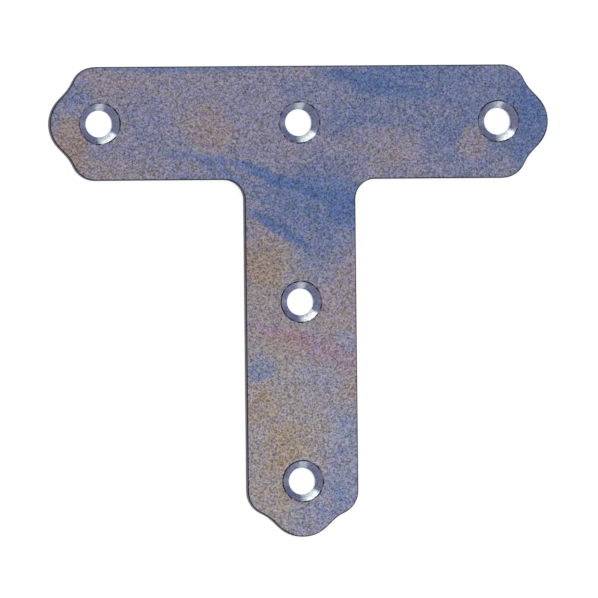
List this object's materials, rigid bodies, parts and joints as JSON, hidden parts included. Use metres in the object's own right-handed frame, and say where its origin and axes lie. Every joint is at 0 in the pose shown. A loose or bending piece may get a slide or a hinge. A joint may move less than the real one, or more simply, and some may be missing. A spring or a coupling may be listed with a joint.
{
  "type": "tee joining plate",
  "caption": "Flat T-shaped steel joining plate with countersunk screw holes and shaped, round-nosed ends.",
  "frame": {"origin": "centre of the head's middle screw hole, on the flat back face", "axes": "+X along the head, -Y down the stem, +Z out of the countersunk face"},
  "size_m": [0.1, 0.0933, 0.0025],
  "materials": {
    "passivated_zinc_plate": "zinc plated steel with a mottled iridescent blue and tan passivate, satin"
  },
  "bodies": {
    "root": {"tee_plate": "passivated_zinc_plate"}
  },
  "joints": []
}
